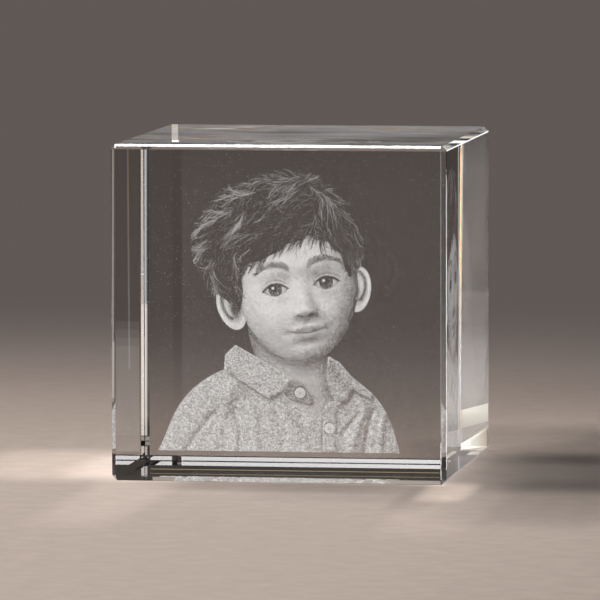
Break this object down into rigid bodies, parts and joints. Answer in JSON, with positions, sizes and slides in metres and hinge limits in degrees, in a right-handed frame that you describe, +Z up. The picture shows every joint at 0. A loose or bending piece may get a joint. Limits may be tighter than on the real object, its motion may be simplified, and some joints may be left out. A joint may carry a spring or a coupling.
{
  "type": "crystal photo cube",
  "caption": "Solid clear glass cube with bevelled polished edges and a greyscale bust portrait engraved as fine laser marks inside it; stands on a desk or shelf as a keepsake photo display.",
  "frame": {"origin": "middle of the base, on the surface that the cube stands on", "axes": "+Z up, -Y out of the front face towards the viewer of the portrait, +X to the viewer's right"},
  "size_m": [0.08, 0.08, 0.08],
  "materials": {
    "crystal": "clear optical glass, polished on every face and bevel",
    "engraved_skin": "dense white micro-fractures, soft matt grey to white",
    "engraved_hair": "sparse white micro-fractures in strands, clear glass between them",
    "engraved_cloth": "coarse white micro-fractures in a woven grain",
    "engraved_detail": "fine white micro-fractures for eyes, brows, lips and buttons"
  },
  "bodies": {
    "root": {"crystal_block": "crystal", "engraved_brows": "engraved_detail", "engraved_buttons": "engraved_detail", "engraved_collar_left": "engraved_cloth", "engraved_collar_right": "engraved_cloth", "engraved_collar_stand": "engraved_cloth", "engraved_ear_left": "engraved_skin", "engraved_ear_right": "engraved_skin", "engraved_eyes": "engraved_detail", "engraved_face": "engraved_skin", "engraved_hair": "engraved_hair", "engraved_irises": "engraved_detail", "engraved_lips": "engraved_detail", "engraved_neck": "engraved_skin", "engraved_nose": "engraved_skin", "engraved_placket": "engraved_cloth", "engraved_shirt_left": "engraved_cloth", "engraved_shirt_right": "engraved_cloth"}
  },
  "joints": []
}
